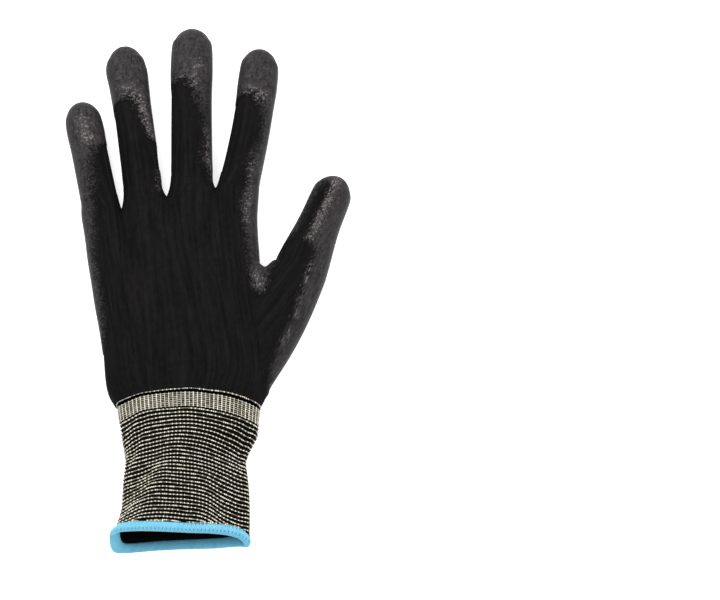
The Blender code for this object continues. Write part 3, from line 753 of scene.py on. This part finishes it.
def clothPiece(name, values, wanted, nodes, surface, lift):
    spots, ups, fields, faces, places = cutAbove(values, wanted)
    spots = spots + ups * lift(fields)[:, None]
    spots[:, 2] = np.maximum(spots[:, 2], dip["lowest"])
    mesh = meshFrom(name, spots, faces, places)
    markPoints(mesh, "dip", fields)
    # where the pale grains show, partly painted highlight
    markPoints(mesh, "grains", grainShare(spots, ups))
    # how far each point faces up, for the painted shade on sloping sides
    markPoints(mesh, "upward", ups[:, 2])
    return newPiece(name, mesh, nodes, surface)


def material(name, colour, roughness, specular):
    made = bpy.data.materials.new(name)
    made.use_nodes = True
    shader = made.node_tree.nodes["Principled BSDF"]
    shader.inputs["Base Color"].default_value = (*colour, 1)
    shader.inputs["Roughness"].default_value = roughness
    shader.inputs["Specular IOR Level"].default_value = specular
    return made, made.node_tree, shader


def node(tree, kind, settings=None, **inputs):
    # a new node; its inputs are given by name, or by number after an i
    made = tree.nodes.new(kind)
    for key, value in (settings or {}).items():
        setattr(made, key, value)
    for key, value in inputs.items():
        socket = made.inputs[int(key[1:]) if key[0] == "i" and key[1:].isdigit() else key]
        if isinstance(value, bpy.types.NodeSocket):
            tree.links.new(value, socket)
        else:
            socket.default_value = value
    return made


def calc(tree, operation, a, b=0.0):
    return node(tree, "ShaderNodeMath", {"operation": operation}, i0=a, i1=b).outputs[0]


def plus(tree, a, b):
    return calc(tree, "ADD", a, b)


def times(tree, a, b):
    return calc(tree, "MULTIPLY", a, b)


def centred(tree, value, size):
    # a value from 0 to 1 as one from minus to plus half the size
    return times(tree, calc(tree, "SUBTRACT", value, 0.5), size)


def clothPlace(tree, scale=None):
    # the place on the knit, in columns across and in mm along
    spot = node(tree, "ShaderNodeUVMap", {"uv_map": "knit"}).outputs[0]
    return spot if scale is None else node(tree, "ShaderNodeMapping", i0=spot, i3=scale).outputs[0]


def bumped(tree, shader, height, distance, strength):
    bump = node(tree, "ShaderNodeBump", Height=height, Distance=distance, Strength=strength)
    tree.links.new(bump.outputs["Normal"], shader.inputs["Normal"])


def stitchHeight(tree, wales, courses):
    # rows of V stitches: wales per column, courses per mm
    part = node(tree, "ShaderNodeSeparateXYZ", i0=clothPlace(tree))
    wave = calc(tree, "PINGPONG", times(tree, part.outputs[0], wales * 2), 1.0)
    slant = plus(tree, times(tree, part.outputs[1], courses), times(tree, wave, 0.5))
    row = calc(tree, "PINGPONG", slant, 0.5)
    rib = calc(tree, "SINE", times(tree, wave, math.pi))
    return plus(tree, row, times(tree, rib, knitLook["rib"]))


def streaks(tree, scale):
    # a fine grain that runs along the cloth
    drawn = clothPlace(tree, scale)
    return node(tree, "ShaderNodeTexNoise", Vector=drawn, Scale=1.0, Detail=3.0, Roughness=0.6).outputs[0]


def toned(tree, share, dark, light):
    mixed = node(tree, "ShaderNodeMix", {"data_type": "RGBA"}, i0=share)
    for socket, colour in ((6, dark), (7, light)):
        if isinstance(colour, tuple):
            mixed.inputs[socket].default_value = (*colour, 1)
        else:
            tree.links.new(colour, mixed.inputs[socket])
    return mixed.outputs[2]


def spread(tree, value, low, high, to=(0.0, 1.0)):
    return node(tree, "ShaderNodeMapRange", i0=value, i1=low, i2=high, i3=to[0], i4=to[1]).outputs[0]


# tones, then how fine the stitches, streaks and clouds are and how much each shows
knitLook = {
    "dark": (0.0050, 0.0050, 0.0054), "light": (0.0125, 0.0112, 0.0115), "roughness": 0.95, "specular": 0.04,
    "wales": 4.0, "courses": 1.2, "rib": 0.6, "streaks": (2.4, 0.03, 1.0), "streakShare": 0.75,
    "clouds": 45.0, "cloudShare": 0.25, "spread": (0.36, 0.66), "relief": 0.00025, "depth": 0.8,
}
# the rim is as dark as the knit looks, with the coating's own gloss on it
dipLook = {
    "rim": (0.0054, 0.0048, 0.0052), "dark": (0.0080, 0.0074, 0.0080), "light": (0.056, 0.051, 0.053),
    # the paler patches and flecks are partly the dip's pale grains and partly painted highlight on the raised
    # stitches
    "grainSheen": (0.115, 0.104, 0.102), "fleck": (0.23, 0.21, 0.205), "roughness": 0.5, "specular": 0.09,
    "cells": (5.2, 1.35, 1.0), "scatter": 0.85, "tufts": 300.0, "streaks": (4.0, 0.25, 1.0),
    "streakSpread": (0.35, 0.65), "streakShare": 0.55, "cellShare": 0.40,
    "steepShade": 0.35, "thin": 7.0, "thinShare": 0.6,  # painted shade on sloping sides, and darker where the dip is thin
    "grainSheenShare": 0.35, "grainLimits": (0.98, 0.2), "grainSoft": 0.5, "dotSize": (0.25, 0.6), "dotRim": 0.2,
    "ragged": 5.4, "raggedCells": 0.5, "raggedTufts": 1.6, "coverEdge": (-0.2, 0.25),
    "relief": 0.00015, "depth": 0.6, "stitchShare": 0.5,
}


def knitMaterial():
    look = knitLook
    made, tree, shader = material("black nylon knit", look["dark"], look["roughness"], look["specular"])
    cloud = node(tree, "ShaderNodeTexNoise", Scale=look["clouds"], Detail=2.0).outputs[0]
    tone = plus(tree, times(tree, cloud, look["cloudShare"]),
                times(tree, streaks(tree, look["streaks"]), look["streakShare"]))
    tone = toned(tree, spread(tree, tone, *look["spread"]), look["dark"], look["light"])
    tree.links.new(tone, shader.inputs["Base Color"])
    bumped(tree, shader, stitchHeight(tree, look["wales"], look["courses"]), look["relief"], look["depth"])
    return made


def marked(tree, name):
    # a value that is kept at each point of the mesh
    return node(tree, "ShaderNodeAttribute", {"attribute_name": name}).outputs["Fac"]


def dipMaterial():
    # near its edge the dip only sits on top of the stitches, as pale grains on black yarn, partly painted
    # highlight
    look = dipLook
    made, tree, shader = material("grey dipped coating", look["dark"], look["roughness"], look["specular"])
    fromEdge, grainy = marked(tree, "dip"), marked(tree, "grains")
    cells = node(tree, "ShaderNodeTexVoronoi", Vector=clothPlace(tree, look["cells"]), Scale=1.0,
                 Randomness=look["scatter"])
    cell = node(tree, "ShaderNodeSeparateXYZ", i0=cells.outputs["Color"]).outputs[0]
    tuft = node(tree, "ShaderNodeTexNoise", Scale=look["tufts"], Detail=2.0, Roughness=0.6).outputs[0]
    # the body's tone, stitch by stitch
    stripe = spread(tree, streaks(tree, look["streaks"]), *look["streakSpread"])
    tone = plus(tree, times(tree, stripe, look["streakShare"]), times(tree, cell, look["cellShare"]))
    body = toned(tree, tone, look["dark"], look["light"])
    # painted shade: the dip turns towards the knit's black on sides that face less upwards, and also where it
    # is thin
    steepShade = spread(tree, marked(tree, "upward"), 0.05, 0.9, (look["steepShade"], 1.0))
    thin = spread(tree, fromEdge, 0.0, look["thin"], (look["thinShare"], 1.0))
    body = toned(tree, times(tree, steepShade, thin), knitLook["dark"], body)
    # paler patches, with pale grains on some stitches: partly the dip's own grains, partly painted highlight
    # on the raised stitches
    body = toned(tree, spread(tree, grainy, 0.2, 1.0, (0.0, look["grainSheenShare"])), body, look["grainSheen"])
    limit = spread(tree, grainy, 0.0, 1.0, look["grainLimits"])
    limit = calc(tree, "SUBTRACT", limit, centred(tree, tuft, look["grainSoft"]))
    fleck = spread(tree, calc(tree, "SUBTRACT", cell, limit), 0.0, 0.5)
    dot = spread(tree, cells.outputs["Distance"], *look["dotSize"], (1.0, look["dotRim"]))
    body = toned(tree, times(tree, fleck, dot), body, look["fleck"])
    # the ragged edge: where the cover ends, the black yarn shows
    torn = plus(tree, centred(tree, cell, look["raggedCells"]), centred(tree, tuft, look["raggedTufts"]))
    cover = plus(tree, spread(tree, fromEdge, 0.0, look["ragged"], (-0.5, 0.5)), torn)
    cover = spread(tree, cover, *look["coverEdge"])
    tree.links.new(toned(tree, cover, look["rim"], body), shader.inputs["Base Color"])
    rough = spread(tree, cover, 0.0, 1.0, (knitLook["roughness"], look["roughness"]))
    tree.links.new(rough, shader.inputs["Roughness"])
    stitch = stitchHeight(tree, knitLook["wales"], knitLook["courses"])
    height = plus(tree, fleck, times(tree, stitch, look["stitchShare"]))
    bumped(tree, shader, height, look["relief"], look["depth"])
    return made


yarnLook = {
    "black": ((0.0035, 0.0033, 0.0028), 0.95, 0.03),  # colour, roughness and specular
    # darkest, lightest and roughness
    "cream": ((0.26, 0.24, 0.17), (0.92, 0.88, 0.74), 0.8),
    "blue": ((0.03, 0.19, 0.42), (0.32, 0.84, 0.99), 0.6),
    "specular": 0.2, "fuzz": 4000.0, "relief": 0.00008, "depth": 0.5,
}


def yarnMaterial(name, dark, light, roughness):
    # yarn whose tone varies from stitch to stitch
    made, tree, shader = material(name, light, roughness, yarnLook["specular"])
    tree.links.new(toned(tree, marked(tree, "tone"), dark, light), shader.inputs["Base Color"])
    fuzz = node(tree, "ShaderNodeTexNoise", Scale=yarnLook["fuzz"], Detail=2.0).outputs[0]
    bumped(tree, shader, fuzz, yarnLook["relief"], yarnLook["depth"])
    return made


blackKnit = knitMaterial()
greyDip = dipMaterial()
cuffBlack, _, _ = material("black elastic knit", *yarnLook["black"])
creamYarn = yarnMaterial("cream yarn", *yarnLook["cream"])
blueThread = yarnMaterial("blue thread", *yarnLook["blue"])


def filmLift(field):
    # the film rises from under the knit at its edge
    return mix(dip["sunk"], dip["thickness"], smooth(0, dip["edge"], field))


def noLift(field):
    return np.zeros(len(field))


fingerNodes = ["little_finger", "ring_finger", "middle_finger", "index_finger", "thumb"]
knitBack = clothPiece("knitted_hand", dip["knitUnder"] - coated, owners >= 0, ["hand_body", *fingerNodes],
                      blackKnit, noLift)
# the two halves of the dip meet edge to edge round the roots of the fingers
palmFilm = clothPiece("dipped_palm", coated, owners == 0, ["palm_coating"], greyDip, filmLift)
tipFilm = clothPiece("dipped_fingers", coated, owners > 0, [name + "_coating" for name in fingerNodes],
                     greyDip, filmLift)
print("hand made", len(knitBack.data.polygons), len(palmFilm.data.polygons), len(tipFilm.data.polygons))


def foldDepth(depth, side, up):
    lift = np.zeros(len(side))
    for start, end, deep, wide in cuff["folds"]:
        x, y = side * cuff["flatWidth"], np.full(len(side), depth)
        start, end = ((across * cuff["flatWidth"], down) for across, down in (start, end))
        away, _ = nearLine(x, y, start, end)
        lift -= deep * np.exp(-(away / wide) ** 2)
    return lift * smooth(0.0, cuff["foldFade"], up)


def aheadOf(points):
    return np.roll(points, -1, axis=0) - np.roll(points, 1, axis=0)


def cuffRing(depth, across, up, rise):
    # points round one course, and the way out of the cloth there
    points = cuffShape(depth, across, up)
    ahead = aheadOf(points)
    out = np.stack([-ahead[:, 2], np.zeros(len(points)), ahead[:, 0]], axis=-1)
    out /= np.linalg.norm(out, axis=1)[:, None]
    lift = foldDepth(depth, (1 + across) / 2, up) + rise
    return points + out * lift[:, None], out


def ringFaces(rings, count):
    # faces between rings of points, the last ring joined to the first
    faces = []
    for r in range(rings):
        s = (r + 1) % rings
        for k in range(count):
            n = (k + 1) % count
            faces.append((r * count + n, s * count + n, s * count + k, r * count + k))
    return faces


def cuffBase():
    across, up = evenTurns(cuff["wales"])
    first, last, pitch = cuff["start"], cuff["end"], cuff["pitch"]
    steps = int(round((last - first) / pitch * cuff["perCourse"]))
    rings = []
    for depth in np.linspace(first, last, steps + 1):
        phase = (depth - cuff["firstRow"]) / pitch * 2 * math.pi
        wave = (math.cos(phase) - 1) / 2 if depth > cuff["firstRow"] - cuff["ribStart"] else -0.5
        tuck = cuff["tuck"] * float(smooth(cuff["tuckLength"], 0.0, depth - first))
        rings.append(cuffRing(depth, across, up, cuff["rib"] * wave - tuck)[0])
    for depth in np.linspace(last, first, cuff["innerRings"]):
        rings.append(cuffRing(depth, across, up, -cuff["wall"])[0])
    points = np.concatenate(rings)
    points[:, 2] = np.maximum(points[:, 2], cuff["lowest"])
    mesh = meshFrom("elastic_cuff", points, ringFaces(len(rings), cuff["wales"]))
    return newPiece("elastic_cuff", mesh, ["cuff"], cuffBlack)


cuffBase()
print("cuff made")
stitchShape = {"places": [-0.5, -0.25, 0.25, 0.5], "sizes": [0.2, 1.0, 1.0, 0.2], "sides": 5, "turn": 0.25,
               "lowest": 0.02}


def stitches(centres, alongs, outs, lengths, widths, heights):
    # little rounded stitches, all in one mesh
    sides, rows = stitchShape["sides"], len(stitchShape["places"])
    alongs = alongs / np.linalg.norm(alongs, axis=1)[:, None]
    beside = np.cross(alongs, outs)
    beside /= np.linalg.norm(beside, axis=1)[:, None]
    outs = np.cross(beside, alongs)
    points = []
    for place, size in zip(stitchShape["places"], stitchShape["sizes"]):
        for k in range(sides):
            turn = 2 * math.pi * (k + stitchShape["turn"]) / sides
            points.append(centres + alongs * (place * lengths)[:, None]
                          + beside * (math.cos(turn) * size * widths / 2)[:, None]
                          + outs * (math.sin(turn) * size * heights / 2)[:, None])
    points = np.stack(points, axis=1)
    faces = []
    for r in range(0, (rows - 1) * sides, sides):
        for k in range(sides):
            n = (k + 1) % sides
            faces.append((r + k, r + n, r + sides + n, r + sides + k))
    ends = [tuple(range(sides))[::-1], tuple(range((rows - 1) * sides, rows * sides))]
    total = []
    for start in range(0, len(centres) * rows * sides, rows * sides):
        total += [tuple(start + k for k in face) for face in faces + ends]
    return points.reshape(-1, 3), total, rows * sides


def stitchPiece(name, rows, nodes):
    parts = [np.concatenate(part) for part in zip(*rows)]
    points, faces, each = stitches(*parts[:-1])
    points[:, 2] = np.maximum(points[:, 2], stitchShape["lowest"])
    mesh = meshFrom(name, points, faces)
    markPoints(mesh, "tone", np.repeat(parts[-1], each))
    return newPiece(name, mesh, nodes, creamYarn)


# a pale course: bright loops with dim yarn between them, and how often the two change places
course = {
    "wide": 0.62, "high": 0.55, "lift": 0.1, "flips": 0.16,
    "waver": 0.22, "waverLength": 9, "waverDepth": 0.9, "fromMouth": 0.05,
    "lengths": (0.8, 1.0), "widths": (0.95, 1.2), "tones": (0.8, 1.0),
    "dimLength": 1.25, "dimWidth": 0.62, "dimTones": (0.0, 0.3),
}
chance = np.random.default_rng(7)
waleAcross, waleUp = evenTurns(cuff["wales"])


def courseStitches(depth, wide=course["wide"], high=course["high"], lift=course["lift"]):
    waver = [noise.noise(Vector((k / course["waverLength"], depth * course["waverDepth"], 5.0)))
             for k in range(cuff["wales"])]
    points, outs = cuffRing(depth, waleAcross, waleUp, lift)
    points[:, 1] += np.array(waver) * course["waver"]
    ahead = aheadOf(points)
    pitch = np.linalg.norm(ahead, axis=1) / 2
    count = len(points)
    dim = (np.arange(count) + (chance.random(count) < course["flips"])) % 2 == 0
    lengths = np.where(dim, course["dimLength"], chance.uniform(*course["lengths"], count))
    dimTones = chance.uniform(*course["dimTones"], count)
    tones = np.where(dim, dimTones, chance.uniform(*course["tones"], count))
    widths = wide * np.where(dim, course["dimWidth"], chance.uniform(*course["widths"], count))
    free = points[:, 1] > mouthY((1 + waleAcross) / 2, waleUp) + course["fromMouth"]
    return (points[free], ahead[free], outs[free], (pitch * lengths)[free], widths[free],
            np.full(int(free.sum()), high), tones[free])


rows = [courseStitches(cuff["firstRow"] + k * cuff["pitch"]) for k in range(cuff["rowCourses"])]
stitchPiece("cuff_stripes", rows, [])

# the pale band: pillars of yarn down every second wale, with dim cross stitches between them
band = {
    "start": 1.95, "pitch": 0.85, "courses": 8, "lift": 0.15, "edge": (0.68, 0.5, 0.3),
    "pillar": 0.50, "pillarHigh": 0.6, "pillarLength": 1.15, "pillarTones": (0.62, 1.0), "reach": 0.4,
    "pillarSizes": (0.7, 1.35),
    "cross": 0.29, "crossHigh": 0.36, "crossLength": 1.7, "crossTones": (0.0, 0.8),
}
rows = [courseStitches(0.0, *band["edge"])]
pillarSizes = chance.uniform(*band["pillarSizes"], (cuff["wales"] + 1) // 2)
for k in range(band["courses"]):
    depth = band["start"] + k * band["pitch"]
    points, outs = cuffRing(depth, waleAcross, waleUp, band["lift"])
    ahead = aheadOf(points)
    lower, _ = cuffRing(depth + band["reach"], waleAcross, waleUp, band["lift"])
    even = np.arange(len(points)) % 2 == 0
    down = lower - points
    down[:, 2] = 0
    count = int(even.sum())
    rows.append((points[even], down[even], outs[even], np.full(count, band["pitch"] * band["pillarLength"]),
                 band["pillar"] * pillarSizes, np.full(count, band["pillarHigh"]),
                 chance.uniform(*band["pillarTones"], count)))
    count = int((~even).sum())
    pitch = np.linalg.norm(ahead[~even], axis=1) / 2
    rows.append((points[~even], ahead[~even], outs[~even], pitch * band["crossLength"],
                 np.full(count, band["cross"]), np.full(count, band["crossHigh"]),
                 chance.uniform(*band["crossTones"], count)))
stitchPiece("wrist_band_stitches", rows, ["wrist_band"])
print("stitches made")

# the hem: wraps of thread round a soft roll, with painted shade in the grooves between wraps and in the holes
# where the needle went through
hem = {
    "height": 4.8, "thickness": 3.0, "flare": 3.6, "wraps": 246, "perWrap": 4, "sides": 16, "gap": -0.2,
    "wider": 0.22, "widerTurn": (-0.1, 0.5), "lowest": 0.03, "groove": 0.12, "loose": (0.8, 1.0),
    "holeRows": [1, 14], "holeWraps": 3, "holeWidth": 3, "patchLength": 130, "patchShare": -0.08,
    "grooveShade": 0.15,
}


def hemRing(drop, out, across, up):
    # wider to the right underneath, upwards from its lower edge
    side = (1 + across) / 2
    wider = hem["wider"] * side * smooth(*hem["widerTurn"], -up)
    drop = drop - wider * (hem["gap"] + hem["height"] - drop)
    lastRow = cuffRows[-1]
    left = lastRow[1] * hand["wristWidth"] - out - hem["flare"] * drop / hem["height"]
    right = lastRow[2] * hand["wristWidth"] + out
    thick = mix(lastRow[3], lastRow[4], side) * cuff["thickness"] + 2 * out
    z = np.maximum(hem["lowest"], hand["lift"] - out + mix(-hand["press"], thick, (1 + up) / 2))
    return np.stack([mix(left, right, side), mouthY(side, up) - drop, z], axis=-1)


def hemPiece():
    count = hem["wraps"] * hem["perWrap"]
    across, up = evenTurns(count)
    wrap = np.arange(count) / hem["perWrap"]
    groove = 0.5 - 0.5 * np.cos(2 * math.pi * wrap)
    loose = np.repeat(chance.uniform(*hem["loose"], hem["wraps"]), hem["perWrap"])
    patches = np.array([noise.noise(Vector((k / hem["patchLength"], 3.0, 0.0))) for k in range(count)])
    pierced = np.arange(count) % (hem["holeWraps"] * hem["perWrap"]) < hem["holeWidth"]
    rings, tones = [], []
    for k in range(hem["sides"]):
        turn = 2 * math.pi * (k + 0.5) / hem["sides"]
        size = 1 - hem["groove"] * (1 - groove)
        drop = hem["gap"] + hem["height"] / 2 * (1 - math.sin(turn) * size)
        out = hem["thickness"] / 2 * math.cos(turn) * size - cuff["wall"] / 2
        rings.append(hemRing(drop, out, across, up))
        # painted shade: darker blue thread in the needle holes and in the grooves between wraps
        hole = np.isin(k, hem["holeRows"]) & pierced & (patches > hem["patchShare"] * k)
        tones.append(np.where(hole, 0.0, mix(hem["grooveShade"], 1.0, groove * loose)))
    mesh = meshFrom("blue_hem", np.concatenate(rings), ringFaces(hem["sides"], count))
    markPoints(mesh, "tone", np.concatenate(tones))
    return newPiece("blue_hem", mesh, ["hem"], blueThread)


hemPiece()
print("hem made")


# metres and watts; lights: name, place, size and power
studio = {
    "floor": 3.0, "under": -0.0002, "floorTone": 0.85, "floorGlow": 0.72, "world": 0.75,
    "lights": [("key", (-0.5, 0.7, 1.2), 0.6, 12), ("fill", (0.8, 0.2, 1.0), 1.0, 5)],
}


def addFloor():
    mesh = bpy.data.meshes.new("floor")
    half, z = studio["floor"], studio["under"]
    corners = [(-half, -half, z), (half, -half, z), (half, half, z), (-half, half, z)]
    mesh.from_pydata(corners, [], [(0, 1, 2, 3)])
    made = placed("floor", mesh)
    surface, _, shader = material("white floor", (studio["floorTone"],) * 3, 0.9, 0.0)
    shader.inputs["Emission Color"].default_value = (1, 1, 1, 1)
    shader.inputs["Emission Strength"].default_value = studio["floorGlow"]
    mesh.materials.append(surface)


def addLight(name, place, size, power):
    light = bpy.data.lights.new(name, "AREA")
    light.shape, light.size, light.energy = "DISK", size, power
    made = placed(name, light)
    made.location = place
    made.rotation_euler = (-Vector(place)).to_track_quat("-Z", "Y").to_euler()


addFloor()
world = bpy.data.worlds.new("studio")
world.use_nodes = True
sky = world.node_tree.nodes["Background"]
sky.inputs["Color"].default_value = (1, 1, 1, 1)
sky.inputs["Strength"].default_value = studio["world"]
bpy.context.scene.world = world
for light in studio["lights"]:
    addLight(*light)
print("stage lit")

camera = bpy.data.cameras.new("camera")
camera.sensor_width = view["film"]
camera.lens = view["film"] * view["distance"] / view["width"]
camera.clip_end = view["reach"]
tilt = math.radians(view["tilt"])
target = Vector((view["centre"], 0, 0))
seen = placed("camera", camera)
seen.location = target + Vector((0, -math.sin(tilt), math.cos(tilt))) * view["distance"]
seen.rotation_euler = (tilt, 0, 0)
bpy.context.scene.camera = seen
bpy.context.scene.view_settings.view_transform = "Standard"
